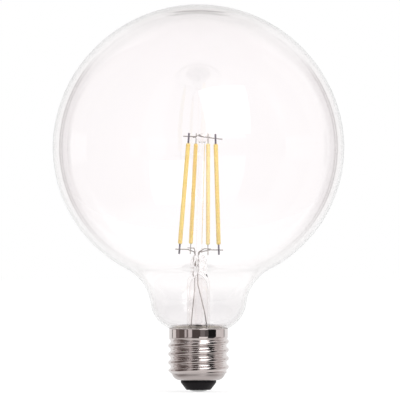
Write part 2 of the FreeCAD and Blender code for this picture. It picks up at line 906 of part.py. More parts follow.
def flat_pack(name, place, length, pins):
    """A moulded package on the board's back, with a row of pins along its top and its bottom edge."""
    low = board_bottom_height + s.package_rise
    high = low + s.package_height
    pin = s.package_pin
    reach = s.package_pin_reach
    pieces = [block(f"{name}_case", place, board_back, low, length, s.package_thickness, s.package_height)]
    for index in range(pins):
        pin_x = place + length * ((index + 0.5) / pins) - pin / 2
        for row, edge in (("low", low - reach), ("high", high)):
            pieces.append(block(f"{name}_{row}_{index}", pin_x, board_back, edge, pin, pin, reach))
    package = doc.addObject("Part::MultiFuse", name)
    package.Shapes = pieces
    package.Label = name
    return package


bridge_rectifier = flat_pack("bridge_rectifier", -s.rectifier_offset, s.rectifier_length, 2)
driver_chip = flat_pack("driver_chip", s.chip_offset, s.chip_length, 4)
sense_resistor = block(
    "sense_resistor",
    -(s.sense_resistor_length / 2),
    board_back,
    board_bottom_height + s.sense_resistor_rise,
    s.sense_resistor_length,
    s.sense_resistor_thickness,
    s.sense_resistor_height,
)

smoothing_capacitor = new_body("smoothing_capacitor")
can_y = s.board_offset - s.capacitor_radius
groove = s.capacitor_radius / 12
can_z = board_bottom_height + s.capacitor_rise
turned(
    smoothing_capacitor,
    "capacitor_can",
    [
        (ZERO, can_z),
        (s.capacitor_radius - groove, can_z),
        (s.capacitor_radius, can_z + groove),
        (s.capacitor_radius, can_z + s.capacitor_length / 8),
        (s.capacitor_radius - groove, can_z + s.capacitor_length / 6),
        (s.capacitor_radius, can_z + s.capacitor_length / 5),
        (s.capacitor_radius, can_z + s.capacitor_length - groove),
        (s.capacitor_radius - groove, can_z + s.capacitor_length),
        (ZERO, can_z + s.capacitor_length),
    ],
)
bind(smoothing_capacitor, "Placement.Base.x", -s.capacitor_offset)
bind(smoothing_capacitor, "Placement.Base.y", can_y)

resistor_z = board_bottom_height + s.resistor_rise
resistor_y = s.board_offset - s.resistor_radius
fusible_resistor = new_body("fusible_resistor")
waist = s.resistor_radius - s.resistor_waist
turned(
    fusible_resistor,
    "resistor_moulded",
    [
        (ZERO, resistor_z),
        (s.resistor_radius, resistor_z),
        (s.resistor_radius, resistor_z + s.resistor_length / 5),
        (waist, resistor_z + s.resistor_length / 4),
        (waist, resistor_z + s.resistor_length * 0.75),
        (s.resistor_radius, resistor_z + s.resistor_length * 0.8),
        (s.resistor_radius, resistor_z + s.resistor_length),
        (ZERO, resistor_z + s.resistor_length),
    ],
)
bind(fusible_resistor, "Placement.Base.x", s.resistor_offset)
bind(fusible_resistor, "Placement.Base.y", resistor_y)

thin = s.thin_wire_radius.value
thin_bend = s.thin_wire_bend.value
resistor_x = s.resistor_offset.value
resistor_top = resistor_z.value + s.resistor_length.value
stub_top = resistor_top + s.resistor_stub.value
contact_wire_upper = bent_wire(
    "contact_wire_upper",
    [
        Vector(resistor_x, resistor_y.value, resistor_top),
        Vector(resistor_x, resistor_y.value, stub_top),
        Vector(resistor_x, board_front, stub_top),
    ],
    thin,
    thin_bend,
)
eyelet_top = s.contact_height.value + s.eyelet_length.value
contact_wire_lower = bent_wire(
    "contact_wire_lower",
    [
        Vector(resistor_x, resistor_y.value, resistor_z.value),
        Vector(resistor_x, resistor_y.value, resistor_z.value - s.resistor_stub.value),
        Vector(0, 0, eyelet_top + s.contact_wire_rise.value),
        Vector(0, 0, s.eyelet_floor.value),
    ],
    thin,
    thin_bend,
)
wire_x = s.shell_wire_offset.value
foot_x = wire_x - s.shell_wire_drop.value
wire_y = board_back.value
weld_radius = (shoulder_radius - s.cap_sheet - s.shell_wire_inset).value
weld_y = math.sqrt(weld_radius**2 - foot_x**2)
shell_wire_top = board_top - s.shell_wire_drop.value
shell_wire = bent_wire(
    "shell_wire",
    [
        Vector(wire_x, wire_y, shell_wire_top),
        Vector(wire_x, wire_y + s.shell_wire_stub.value, shell_wire_top),
        Vector(foot_x, wire_y + s.shell_wire_reach.value, (shoulder_height + s.shell_wire_height).value),
        Vector(foot_x, weld_y, (shoulder_height - s.shell_wire_foot_drop).value),
    ],
    thin,
    thin_bend,
)

# The finished sub-parts
parts = [
    glass_globe,
    glass_stem,
    exhaust_tube,
    support_rod,
    lead_wire_left,
    lead_wire_right,
    jumper_wire_left,
    jumper_wire_right,
    top_wire_outer,
    top_wire_inner,
    *strips,
    cap_shell,
    cap_insulator,
    centre_contact,
    basing_cement,
    driver_board,
    bridge_rectifier,
    driver_chip,
    sense_resistor,
    smoothing_capacitor,
    fusible_resistor,
    contact_wire_upper,
    contact_wire_lower,
    shell_wire,
]
doc.recompute()
faults = [item.Name for item in doc.Objects if "Invalid" in item.State or "Error" in item.State]
faults += [part.Label for part in parts if part.Shape.isNull() or not part.Shape.isValid()]
faults += [f"{part.Label} isn't one solid" for part in parts if len(part.Shape.Solids) != 1]
if faults:
    raise RuntimeError(f"not built: {', '.join(faults)}")
for part in parts:
    part.Shape.exportStep(f"parts/{part.Label}.step")
print(f"{len(parts)} sub-parts written")
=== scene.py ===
# %% [markdown]
# A clear globe lamp
#
# This lesson dresses a large clear globe lamp: a blown glass envelope, a glass stem that carries four
# coated light strips, and a bright rolled screw cap. The solids of its working model are already in place,
# in metres. Each one is either copied and smoothed, or built again with smooth surfaces where flat facets
# would show, and then gets its finish.

import math

import bmesh
import bpy
from mathutils import Matrix, Vector, noise


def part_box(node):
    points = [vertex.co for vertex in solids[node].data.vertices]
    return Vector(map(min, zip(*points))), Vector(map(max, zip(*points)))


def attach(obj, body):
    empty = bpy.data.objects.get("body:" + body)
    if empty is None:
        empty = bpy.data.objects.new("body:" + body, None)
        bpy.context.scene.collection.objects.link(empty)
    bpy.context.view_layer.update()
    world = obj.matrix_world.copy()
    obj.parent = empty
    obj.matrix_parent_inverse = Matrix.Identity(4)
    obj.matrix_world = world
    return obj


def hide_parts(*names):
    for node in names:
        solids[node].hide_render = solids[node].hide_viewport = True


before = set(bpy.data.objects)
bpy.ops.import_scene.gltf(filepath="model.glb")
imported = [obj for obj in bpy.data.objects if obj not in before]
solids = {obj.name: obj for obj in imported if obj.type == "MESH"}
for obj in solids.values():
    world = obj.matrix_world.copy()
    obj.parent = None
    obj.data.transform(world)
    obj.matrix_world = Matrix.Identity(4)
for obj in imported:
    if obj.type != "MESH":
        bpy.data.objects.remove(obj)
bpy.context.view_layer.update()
MM = 0.001

# %% [markdown]
# Shader maths reads best as plain arithmetic. So a small class wraps a socket, and each operator adds the
# Math node that it stands for. The reflected forms let a number stand on the left, as in 1 - mask.


# %% Arithmetic on sockets
class Value:
    """A socket of a node tree that can be used in Python arithmetic."""

    def __init__(self, tree, socket):
        self.tree = tree
        self.socket = socket

    def math(self, operation, first, second=0, clamp=False):
        settings = {"operation": operation, "use_clamp": clamp}
        return self.tree.node("ShaderNodeMath", settings, {0: first, 1: second})

    def __add__(self, other):
        return self.math("ADD", self, other)

    def __sub__(self, other):
        return self.math("SUBTRACT", self, other)

    def __rsub__(self, other):
        return self.math("SUBTRACT", other, self)

    def __mul__(self, other):
        return self.math("MULTIPLY", self, other)

    def __truediv__(self, other):
        return self.math("DIVIDE", self, other)

    def __abs__(self):
        return self.math("ABSOLUTE", self)

    __radd__ = __add__
    __rmul__ = __mul__

    def sine(self):
        return self.math("SINE", self)

    def step(self, start, end):
        """0 below start and 1 above end, with a straight slope between them."""
        return self.math("MULTIPLY", self - start, 1 / (end - start), clamp=True)


print("arithmetic on sockets is ready")

# %% [markdown]
# Every other node comes from one method. It takes the node's type, its settings and what its sockets get,
# and sets them in that order, because some settings change which sockets a node has. The stops of a colour
# ramp are settings too, and a ramp starts with two of them, so the others are added first.


# %% One method for every node
class NodeTree:
    """The node tree of one material or of the world."""

    def __init__(self, owner):
        owner.use_nodes = True
        self.nodes = owner.node_tree.nodes
        self.links = owner.node_tree.links
        self.nodes.clear()

    def node(self, kind, settings=None, inputs=None, output=0):
        made = self.nodes.new(kind)
        for name, value in (settings or {}).items():
            if name == "stops":
                self.set_stops(made.color_ramp, value)
            elif name == "interpolation":
                made.color_ramp.interpolation = value
            else:
                setattr(made, name, value)
        for place, value in (inputs or {}).items():
            if isinstance(value, Value):
                self.links.new(value.socket, made.inputs[place])
            else:
                made.inputs[place].default_value = value
        return Value(self, made.outputs[output])

    def set_stops(self, ramp, stops):
        while len(ramp.elements) < len(stops):
            ramp.elements.new(1.0)
        for element, (place, colour) in zip(ramp.elements, stops):
            element.position = place
            element.color = colour

    def finish(self, shader, kind="ShaderNodeOutputMaterial"):
        self.links.new(shader.socket, self.nodes.new(kind).inputs["Surface"])


print("trees of nodes are ready")

# %% [markdown]
# The nodes that this lamp needs most get short names. Patterns read Object coordinates: every piece has its
# place in its mesh, so these are metres from the foot of the lamp, and a pattern moves with its piece.
# Colours are mixed by Mix nodes, because a Math node would turn them grey.


# %% Short names for common nodes
class Tree(NodeTree):
    """A node tree with a method for each node that the lamp's finishes are made of."""

    def place(self):
        return self.node("ShaderNodeTexCoord", output="Object")

    def split(self, vector):
        return [self.node("ShaderNodeSeparateXYZ", inputs={0: vector}, output=axis) for axis in range(3)]

    def height(self):
        return self.split(self.place())[2]

    def stretched(self, scale):
        return self.node("ShaderNodeMapping", inputs={"Vector": self.place(), "Scale": scale})

    def noise(self, scale, detail=3.0, where=None):
        inputs = {"Vector": where or self.place(), "Scale": scale, "Detail": detail}
        return self.node("ShaderNodeTexNoise", inputs=inputs)

    def ramp(self, factor, stops, interpolation="LINEAR"):
        settings = {"stops": stops, "interpolation": interpolation}
        return self.node("ShaderNodeValToRGB", settings, {0: factor})

    def between(self, factor, first, second):
        inputs = {0: factor, 6: first, 7: second}
        return self.node("ShaderNodeMix", {"data_type": "RGBA"}, inputs, output=2)

    def bump(self, height, distance):
        return self.node("ShaderNodeBump", inputs={"Height": height, "Distance": distance})

    def rays(self, kind):
        return self.node("ShaderNodeLightPath", output=f"Is {kind} Ray")

    def principled(self, **inputs):
        named = {name.replace("_", " "): value for name, value in inputs.items()}
        return self.node("ShaderNodeBsdfPrincipled", inputs=named)


def colour(red, green, blue):
    return (red, green, blue, 1.0)


def grey(level):
    return colour(level, level, level)


print(f"a middle grey is {grey(0.5)}")

# %% [markdown]
# Two helpers turn a mesh into a piece of the lamp. One takes what bmesh has shaped: it marks the hard
# edges, smooths the rest, and lets the piece ride on the model in place of the solid that it stands for.
# The other does this with a copy of a solid whose form is right. A solid comes as loose triangles, so the
# copy's points are joined first, and the solid itself stays as it is.

# %% From a mesh to a piece
JOIN = 0.0005 * MM
HARD_ANGLE = 35
SOFT_ANGLE = 60


def piece(name, bm, material, solid, hard_angle=HARD_ANGLE):
    """Makes a mesh in progress the finished piece that stands for a solid of the model."""
    for edge in bm.edges:
        edge.smooth = edge.calc_face_angle(0) < math.radians(hard_angle)
    for face in bm.faces:
        face.smooth = True
    mesh = bpy.data.meshes.new(name)
    bm.to_mesh(mesh)
    bm.free()
    made = bpy.data.objects.new(name, mesh)
    bpy.context.scene.collection.objects.link(made)
    made.data.materials.append(material)
    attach(made, "root")
    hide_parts(solid)
    print(f"{name}: {len(mesh.polygons)} faces")
    return made


def joined_copy(solid):
    bm = bmesh.new()
    bm.from_mesh(solids[solid].data)
    bmesh.ops.remove_doubles(bm, verts=bm.verts, dist=JOIN)
    return bm


def smooth_copy(name, solid, material, hard_angle=HARD_ANGLE):
    return piece(name, joined_copy(solid), material, solid, hard_angle)


print(f"points closer than {JOIN / MM:.4f} mm are joined")

# %% [markdown]
# Most of the lamp is round, so most pieces start as half an outline that is turned once about the axis. The
# outline is drawn in radius and height, from straight runs and arcs. Each helper gives the points of one
# such stretch, and an outline is the stretches added up, without the points that two of them share.


# %% Stretches of an outline
def oval(centre, size, start, end, steps):
    """Points of an oval arc in the plane of (radius, height), between two angles in degrees."""
    angles = [math.radians(start + (end - start) * index / steps) for index in range(steps + 1)]
    return [(centre[0] + size[0] * math.cos(a), centre[1] + size[1] * math.sin(a)) for a in angles]


def arc(centre, radius, start, end, steps):
    return oval(centre, (radius, radius), start, end, steps)


def straight(radius, start, end, steps):
    """Points up or down the side of a tube, without the first."""
    return [(radius, start + (end - start) * index / steps) for index in range(1, steps + 1)]


print(f"a quarter of a round has {len(arc((0, 0), 1, 0, 90, 8))} points in 8 steps")

# %% [markdown]
# A full spin merges its last ring with its first, and what falls together on the axis is merged after it.
# Then the normals are worked out anew, because a spin may turn a surface inside out. A closed shape comes
# out of that with its faces outwards. An open shell may not, so it has a helper of its own, and it gets its
# wall only afterwards.

# %% Turned shapes
UP = Vector((0, 0, 1))


def turned(line, steps):
    """A mesh turned about the lamp's axis from a line of (radius, height) points."""
    bm = bmesh.new()
    points = [bm.verts.new((radius, 0, height)) for radius, height in line]
    edges = [bm.edges.new(pair) for pair in zip(points, points[1:])]
    bmesh.ops.spin(
        bm,
        geom=points + edges,
        cent=(0, 0, 0),
        axis=UP,
        angle=2 * math.pi,
        steps=steps,
        use_merge=True,
    )
    bmesh.ops.remove_doubles(bm, verts=bm.verts, dist=JOIN)
    bmesh.ops.dissolve_degenerate(bm, edges=bm.edges, dist=JOIN)
    bmesh.ops.recalc_face_normals(bm, faces=bm.faces)
    return bm


def outward(bm):
    """Turns the faces of an open shell away from the axis."""
    widest = max(bm.faces, key=lambda face: face.calc_center_median().xy.length)
    if widest.normal.dot(widest.calc_center_median() * Vector((1, 1, 0))) < 0:
        bmesh.ops.reverse_faces(bm, faces=bm.faces)
    return bm


def thicken(made, wall):
    """Gives a shell its wall, inwards."""
    modifier = made.modifiers.new("wall", "SOLIDIFY")
    modifier.thickness = wall
    modifier.offset = -1
    modifier.use_even_offset = True


print("outlines can be turned, and shells thickened")

# %% [markdown]
# Clear glass shows mostly at its edges. Light that grazes the wall is bent away from the white room, so a
# soft grey line runs just inside the outline. A glass shader bends the light, and a ramp on how steeply the
# surface is seen darkens the glass colour there: painted shade for that line, added to what the bending
# gives.
# The lamps still have to light what is inside, so the rays that look for a lamp pass almost straight
# through.

# %% A clear glass finish
SHADOW_PASS = 0.97


def clear_glass(name, edge, waviness, wave_scale, bending, higher=()):
    """Glass with painted shade along its outline, and with the painted shades in higher above the heights
    that they name.
    """
    material = bpy.data.materials.new(name)
    tree = Tree(material)
    facing = tree.node("ShaderNodeLayerWeight", inputs={"Blend": 0.5}, output="Facing")
    # painted shade: a ramp on the facing darkens the glass colour near the outline
    painted_edge_shade = tree.ramp(facing, edge)
    for start, end, stops in higher:
        painted_edge_shade = tree.between(tree.height().step(start, end), painted_edge_shade, tree.ramp(facing, stops))
    inputs = {"Base_Color": painted_edge_shade, "Roughness": 0.0}
    inputs["Normal"] = tree.bump(tree.noise(wave_scale, detail=1.5), waviness)
    glass = tree.principled(Transmission_Weight=1.0, IOR=bending, **inputs)
    through = tree.node("ShaderNodeBsdfTransparent", inputs={"Color": grey(SHADOW_PASS)})
    shaders = {0: tree.rays("Shadow"), 1: glass, 2: through}
    tree.finish(tree.node("ShaderNodeMixShader", inputs=shaders))
    print(f"glass finish {name}")
    return material


print(f"a pane of glass lets {SHADOW_PASS:.0%} of a lamp's light through")

# %% [markdown]
# The grey line isn't the same all the way up. The collar is painted a little greyer all over. Along the
# sphere's sides the line is thin and dark, higher up it fades, then it comes back softer and wider, and at
# the crown it is short and darkest. A real studio isn't equally bright all round, and each part of the
# curve bends in light from another part of it. So each zone has a ramp of painted shade of its own, from
# glass seen straight on at 0 to glass seen edge on at 1, and the height blends one zone into the next.

# %% The globe's glass
# painted shade for the grey line inside the outline, one ramp for each height zone
NECK_PAINTED_SHADE = [
    (0.0, colour(0.92, 0.908, 0.912)),
    (0.6, colour(0.91, 0.9, 0.902)),
    (0.72, colour(0.72, 0.71, 0.705)),
    (0.82, colour(0.88, 0.87, 0.865)),
    (1.0, colour(0.93, 0.92, 0.915)),
]
HOLLOW_PAINTED_SHADE = [
    (0.0, colour(1.0, 0.99, 0.992)),
    (0.6, colour(1.0, 0.99, 0.99)),
    (0.72, colour(0.85, 0.84, 0.835)),
    (0.82, colour(0.92, 0.91, 0.905)),
    (1.0, colour(0.98, 0.97, 0.965)),
]
SIDE_PAINTED_SHADE = [
    (0.0, colour(1.0, 0.982, 0.986)),
    (0.53, colour(0.985, 0.967, 0.97)),
    (0.58, colour(0.87, 0.845, 0.85)),
    (0.62, colour(0.8, 0.77, 0.775)),
    (0.66, colour(0.82, 0.79, 0.795)),
    (0.67, colour(0.77, 0.74, 0.745)),
    (0.694, colour(0.31, 0.275, 0.275)),
    (0.718, colour(0.86, 0.84, 0.84)),
    (0.78, colour(0.95, 0.94, 0.935)),
    (0.86, colour(1.0, 0.99, 0.985)),
]
UPPER_PAINTED_SHADE = [
    (0.0, colour(1.0, 0.98, 0.984)),
    (0.48, colour(0.985, 0.965, 0.968)),
    (0.57, colour(0.905, 0.89, 0.89)),
    (0.61, colour(0.91, 0.895, 0.895)),
    (0.66, colour(0.945, 0.935, 0.935)),
    (1.0, colour(0.96, 0.95, 0.95)),
]
SHOULDER_PAINTED_SHADE = [
    (0.0, colour(1.0, 0.98, 0.984)),
    (0.48, colour(0.985, 0.965, 0.968)),
    (0.55, colour(0.94, 0.92, 0.92)),
    (0.6, colour(0.84, 0.825, 0.825)),
    (0.8, colour(0.845, 0.83, 0.825)),
    (1.0, colour(0.96, 0.95, 0.95)),
]
CROWN_PAINTED_SHADE = [
    (0.0, colour(1.0, 0.98, 0.984)),
    (0.52, colour(0.97, 0.95, 0.953)),
    (0.6, colour(0.8, 0.785, 0.78)),
    (0.67, colour(0.7, 0.68, 0.675)),
    (0.705, colour(0.17, 0.155, 0.15)),
    (0.735, colour(0.7, 0.68, 0.675)),
    (1.0, colour(0.84, 0.82, 0.815)),
]
PAINTED_SHADE_ZONES = (
    (36 * MM, 46 * MM, HOLLOW_PAINTED_SHADE),
    (58 * MM, 82 * MM, SIDE_PAINTED_SHADE),
    (134 * MM, 145 * MM, UPPER_PAINTED_SHADE),
    (154 * MM, 158.5 * MM, SHOULDER_PAINTED_SHADE),
    (161.6 * MM, 162.3 * MM, CROWN_PAINTED_SHADE),
)
globe_glass = clear_glass(
    "globe_glass", NECK_PAINTED_SHADE, waviness=0.03 * MM, wave_scale=30.0, bending=1.48, higher=PAINTED_SHADE_ZONES
)

# %% [markdown]
# The globe is blown, so its outline is one smooth line: a tight waist at the cap, a bulging collar, a long
# hollow and then the sphere, each an arc that runs into the next without a corner. Where two arcs meet,
# their centres and the meeting point lie on one line, which gives each centre from the one before. The
# line is turned once round the axis, and the wall is thickened inwards afterwards, which keeps it even.

# %% The blown globe
NECK_RADIUS = 11.3 * MM
NECK_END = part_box("glass_globe")[0].z
GLASS_WALL = 0.9 * MM
WAIST_ROUND = 1.2 * MM
COLLAR_CENTRE = (7.28 * MM, 39.4 * MM)
COLLAR_ROUND = 13.27 * MM
COLLAR_END = 6.9
HOLLOW_ROUND = 19.3 * MM
SIDE_START = 62.7
SIDE_ROUND = 58.55 * MM
CROWN_START = 18


def beyond(centre, distance, angle):
    """The point at a distance and an angle in degrees from a centre."""
    turn = math.radians(angle)
    return (centre[0] + distance * math.cos(turn), centre[1] + distance * math.sin(turn))


def globe_line():
    sideways = NECK_RADIUS + WAIST_ROUND - COLLAR_CENTRE[0]
    lean = math.degrees(math.acos(sideways / (COLLAR_ROUND + WAIST_ROUND)))
    waist = beyond(COLLAR_CENTRE, COLLAR_ROUND + WAIST_ROUND, -lean)
    hollow = beyond(COLLAR_CENTRE, COLLAR_ROUND + HOLLOW_ROUND, -COLLAR_END)
    side = beyond(hollow, HOLLOW_ROUND + SIDE_ROUND, 180 - SIDE_START)
    crown_round = SIDE_ROUND + side[0] / math.cos(math.radians(CROWN_START))
    crown = (0.0, side[1] - side[0] * math.tan(math.radians(CROWN_START)))
    return (
        [(NECK_RADIUS, NECK_END)]
        + arc(waist, WAIST_ROUND, 180, 180 - lean, steps=8)
        + arc(COLLAR_CENTRE, COLLAR_ROUND, -lean, -COLLAR_END, steps=24)[1:]
        + arc(hollow, HOLLOW_ROUND, 180 - COLLAR_END, 180 - SIDE_START, steps=20)[1:]
        + arc(side, SIDE_ROUND, -SIDE_START, CROWN_START, steps=90)[1:]
        + arc(crown, crown_round, CROWN_START, 90, steps=70)[1:]
    )


globe_shell = outward(turned(globe_line(), steps=200))
globe = piece("glass_globe_blown", globe_shell, globe_glass, "glass_globe")
thicken(globe, GLASS_WALL)

# %% [markdown]
# The stem, the thin pump tube inside it and the rod above it are glass too, but they show only as faint
# grey lines down their sides, with the wires plain to see through them. Glass that bends light fully would
# break those wires into specks in a small picture. So these three bend it less than real glass does, and
# their ramps of painted shade give them most of their outlines.

# %% Glass of the stem, the pump tube and the rod
# painted shade: these ramps darken each glass towards its outline
STEM_PAINTED_SHADE = [
    (0.0, colour(0.995, 0.985, 0.985)),
    (0.5, colour(0.96, 0.945, 0.94)),
    (0.8, colour(0.82, 0.8, 0.79)),
    (1.0, colour(0.6, 0.58, 0.57)),
]
TUBE_PAINTED_SHADE = [
    (0.0, colour(1.0, 0.995, 0.995)),
    (0.6, colour(1.0, 0.985, 0.98)),
    (1.0, colour(0.85, 0.83, 0.82)),
]
ROD_PAINTED_SHADE = [
    (0.0, colour(1.0, 0.99, 0.99)),
    (0.5, colour(0.985, 0.965, 0.96)),
    (1.0, colour(0.62, 0.58, 0.56)),
]
stem_glass = clear_glass("stem_glass", STEM_PAINTED_SHADE, waviness=0.03 * MM, wave_scale=160.0, bending=1.08)
tube_glass = clear_glass("tube_glass", TUBE_PAINTED_SHADE, waviness=0.01 * MM, wave_scale=200.0, bending=1.015)
rod_glass = clear_glass("rod_glass", ROD_PAINTED_SHADE, waviness=0.01 * MM, wave_scale=200.0, bending=1.3)

# %% [markdown]
# The stem is drawn tube with a flare at its foot, which is fused to the globe's neck. Its top was pressed
# flat, while hot, round the wires. The outline starts at the top of the bore's domed end, goes down the
# bore and out along the flare, and comes back up outside to the flat top.

# %% The stem's outline
STEM_RADIUS = 4.9 * MM
BORE_RADIUS = 4.0 * MM
BORE_TOP = 51.5 * MM
DOME = 8 * MM
FLARE_CENTRE = (10.4 * MM, 27.1 * MM)
PRESS_START = 47 * MM
PINCH_START = 54.5 * MM
PINCH_TOP = 58.5 * MM
PINCH_ROUND = 1.2 * MM


def stem_line():
    dome_foot = BORE_TOP - DOME
    side_end = PINCH_TOP - PINCH_ROUND
    return (
        [(0.0, BORE_TOP)]
        + oval((0.0, dome_foot), (BORE_RADIUS, DOME), 90, 0, steps=12)[1:]
        + straight(BORE_RADIUS, dome_foot, FLARE_CENTRE[1], steps=8)[:-1]
        + arc(FLARE_CENTRE, FLARE_CENTRE[0] - BORE_RADIUS, 180, 270, steps=12)
        + [(NECK_RADIUS, NECK_END - GLASS_WALL), (NECK_RADIUS, NECK_END)]
        + arc(FLARE_CENTRE, FLARE_CENTRE[0] - STEM_RADIUS, 270, 180, steps=12)
        + straight(STEM_RADIUS, FLARE_CENTRE[1], PRESS_START, steps=8)
        + straight(STEM_RADIUS, PRESS_START, side_end, steps=36)
        + arc((STEM_RADIUS - PINCH_ROUND, side_end), PINCH_ROUND, 0, 90, steps=6)[1:]
        + [(0.0, PINCH_TOP)]
    )


stem = turned(stem_line(), steps=96)
print(f"the stem is {(PINCH_TOP - NECK_END) / MM:.1f} mm tall")

# %% [markdown]
# Pressing moves each point above the round tube sideways, from its circle towards a flat block with round
# corners. Noise then makes the lumps where the hot glass was squeezed between the jaws. Both grow with
# the height, so the tube runs into the pinch without a step.

# %% The pinch
PINCH_HALF = Vector((5.0 * MM, 2.2 * MM))
PINCH_TURN = math.radians(106)
PINCH_CORNERS = 0.55
LUMP = 0.9 * MM
LUMP_SPACING = 1.7 * MM


def eased(value, start, end):
    """0 below start and 1 above end, with a soft slope between them."""
    share = min(max((value - start) / (end - start), 0), 1)
    return share * share * (3 - 2 * share)


def squared(value):
    """Pushes a sine or cosine towards 1 or -1, which makes a circle a block with round corners."""
    return math.copysign(abs(value) ** PINCH_CORNERS, value)


def pressed(point):
    """Where a point of the round stem goes when its top is pressed flat."""
    share = eased(point.z, PRESS_START, PINCH_START)
    angle = math.atan2(point.y, point.x) - PINCH_TURN
    flat = Vector((squared(math.cos(angle)), squared(math.sin(angle)))) * PINCH_HALF
    lump = noise.noise(point / LUMP_SPACING) * LUMP * share**3
    flat *= (point.xy.length / STEM_RADIUS) * (1 + lump / PINCH_HALF.y)
    return point.xy.lerp(Matrix.Rotation(PINCH_TURN, 2) @ flat, share)


for vertex in stem.verts:
    if vertex.co.z > PRESS_START and vertex.co.xy.length > 0:
        vertex.co.xy = pressed(vertex.co)
piece("stem_and_pinch", stem, stem_glass, "glass_stem", hard_angle=SOFT_ANGLE)

# %% [markdown]
# The pump tube hangs in the stem's bore. Through it the globe was emptied and filled with gas, and its
# lower end was then melted shut. Its form in the model is right, so it only needs smoothing.

# %% The pump tube
smooth_copy("pump_tube", "exhaust_tube", tube_glass, hard_angle=50)

# %% [markdown]
# A clear rod stands on the pinch and carries the wires at the top of the strips. Its upper end was melted
# round them, so it swells into a button. The outline is turned upright and then leaned over a little,
# because the rod of a real lamp seldom stands quite straight.

# %% The rod and its button
ROD_RADIUS = 1.35 * MM
ROD_FOOT = PINCH_TOP - 0.3 * MM
BUTTON = (2.6 * MM, 1.9 * MM)
BUTTON_HEIGHT = 108.7 * MM
SHAFT_END = BUTTON_HEIGHT - 2.3 * MM
SWELLING = [(1.38 * MM, SHAFT_END + 0.4 * MM), (1.48 * MM, SHAFT_END + 0.65 * MM)]
LEAN_HEIGHT = 50 * MM
LEAN = math.radians(1.5)


def rod_line():
    return (
        [(0.0, ROD_FOOT), (ROD_RADIUS, ROD_FOOT)]
        + straight(ROD_RADIUS, ROD_FOOT, SHAFT_END, steps=24)
        + SWELLING
        + oval((0.0, BUTTON_HEIGHT), BUTTON, -50, 90, steps=14)[:-1]
        + [(0.0, BUTTON_HEIGHT + BUTTON[1])]
    )


rod = turned(rod_line(), steps=32)
pivot = Matrix.Translation((0, 0, LEAN_HEIGHT))
leaned = pivot @ Matrix.Rotation(LEAN, 4, "Y") @ pivot.inverted()
bmesh.ops.transform(rod, matrix=leaned, verts=rod.verts)
piece("rod_and_button", rod, rod_glass, "support_rod", hard_angle=SOFT_ANGLE)

# %% [markdown]
# The wires, tabs and contact are plain metal. No such metal is even: handling and heat leave it duller in
# some places than in others. So one helper lets the roughness and the colour wander over a cloud of noise,
# and draws fine level lines where the metal was rolled or stamped.

# %% Plain metals
LINE_STRETCH = (60.0, 60.0, 9000.0)
DARKER = 0.9


def metal(name, base, roughness, spread, lines=0.0):
    """Plain metal whose roughness wanders by spread, with level lines as deep as lines."""
    material = bpy.data.materials.new(name)
    tree = Tree(material)
    cloud = tree.noise(260.0, detail=4.0)
    streaks = tree.noise(1.0, detail=2.0, where=tree.stretched(LINE_STRETCH))
    shade = tree.between(cloud, colour(*(DARKER * part for part in base[:3])), base)
    inputs = {"Base_Color": shade, "Metallic": 1.0, "Roughness": roughness + spread * cloud}
    inputs["Normal"] = tree.bump(streaks, lines)
    tree.finish(tree.principled(**inputs))
    print(f"metal finish {name}")
    return material


lead_metal = metal("lead_metal", colour(0.42, 0.37, 0.35), 0.3, 0.2)
wire_metal = metal("wire_metal", colour(0.34, 0.31, 0.3), 0.32, 0.2)

# %% [markdown]
# Two lead wires come up from the cap through the pinch, and each holds the lower end of an outer strip. A
# short jumper goes on from each lead to the inner strip beside it. At the crown two wires through the
# button join the strips in pairs. Bent wire keeps its round section, so smoothed copies are enough.

# %% The wires
for side in ("left", "right"):
    smooth_copy(f"lead_{side}", f"lead_wire_{side}", lead_metal, SOFT_ANGLE)
    smooth_copy(f"jumper_{side}", f"jumper_wire_{side}", wire_metal, SOFT_ANGLE)
for place in ("outer", "inner"):
    smooth_copy(f"crown_wire_{place}", f"top_wire_{place}", wire_metal, SOFT_ANGLE)

# %% [markdown]
# A light strip is a thin carrier with a row of tiny chips, dipped in silicone that holds yellow phosphor.
# Unlit, it looks like soft yellow wax: the light goes a little way in, and the chips show as a faint row
# of dots. The four strips carry one coat, but the two inner strips, behind and before the others, get
# lighter copies of it and the outer pair a darker one: painted light and painted shade for where each
# stands.

# %% The phosphor coat
CHIP_PITCH = 1.45 * MM
CHIPS_SHOW = 0.35
CLOUD_SHOWS = 0.5
COAT_GRAIN = 0.02 * MM
LIGHT_DEPTH = 0.6 * MM
DEPTH_BY_COLOUR = (1.0, 0.6, 0.2)


def phosphor(name, deep, pale):
    """A waxy coat over a row of chips, between two shades."""
    material = bpy.data.materials.new(name)
    tree = Tree(material)
    cloud = tree.noise(700.0, detail=3.0)
    chips = (tree.height() * (2 * math.pi / CHIP_PITCH)).sine()
    row = (chips * 0.5 + 0.5) * CHIPS_SHOW
    base = tree.between(row + CLOUD_SHOWS * cloud, deep, pale)
    inputs = {"Base_Color": base, "Roughness": 0.42, "Normal": tree.bump(cloud, COAT_GRAIN)}
    inputs.update(Subsurface_Weight=0.35, Subsurface_Radius=DEPTH_BY_COLOUR, Subsurface_Scale=LIGHT_DEPTH)
    tree.finish(tree.principled(**inputs))
    print(f"coat finish {name}")
    return material


# one coat in three shades, as painted light and shade: darker on the outer strips, lighter on the back and
# front ones
outer_coat_shaded = phosphor("outer_coat_shaded", colour(0.78, 0.58, 0.165), colour(0.85, 0.67, 0.25))
back_coat_lit = phosphor("back_coat_lit", colour(0.86, 0.62, 0.19), colour(0.93, 0.71, 0.27))
front_coat_lit = phosphor("front_coat_lit", colour(0.83, 0.64, 0.27), colour(0.9, 0.73, 0.36))
COATS = {1: back_coat_lit, 2: outer_coat_shaded, 3: front_coat_lit, 4: outer_coat_shaded}

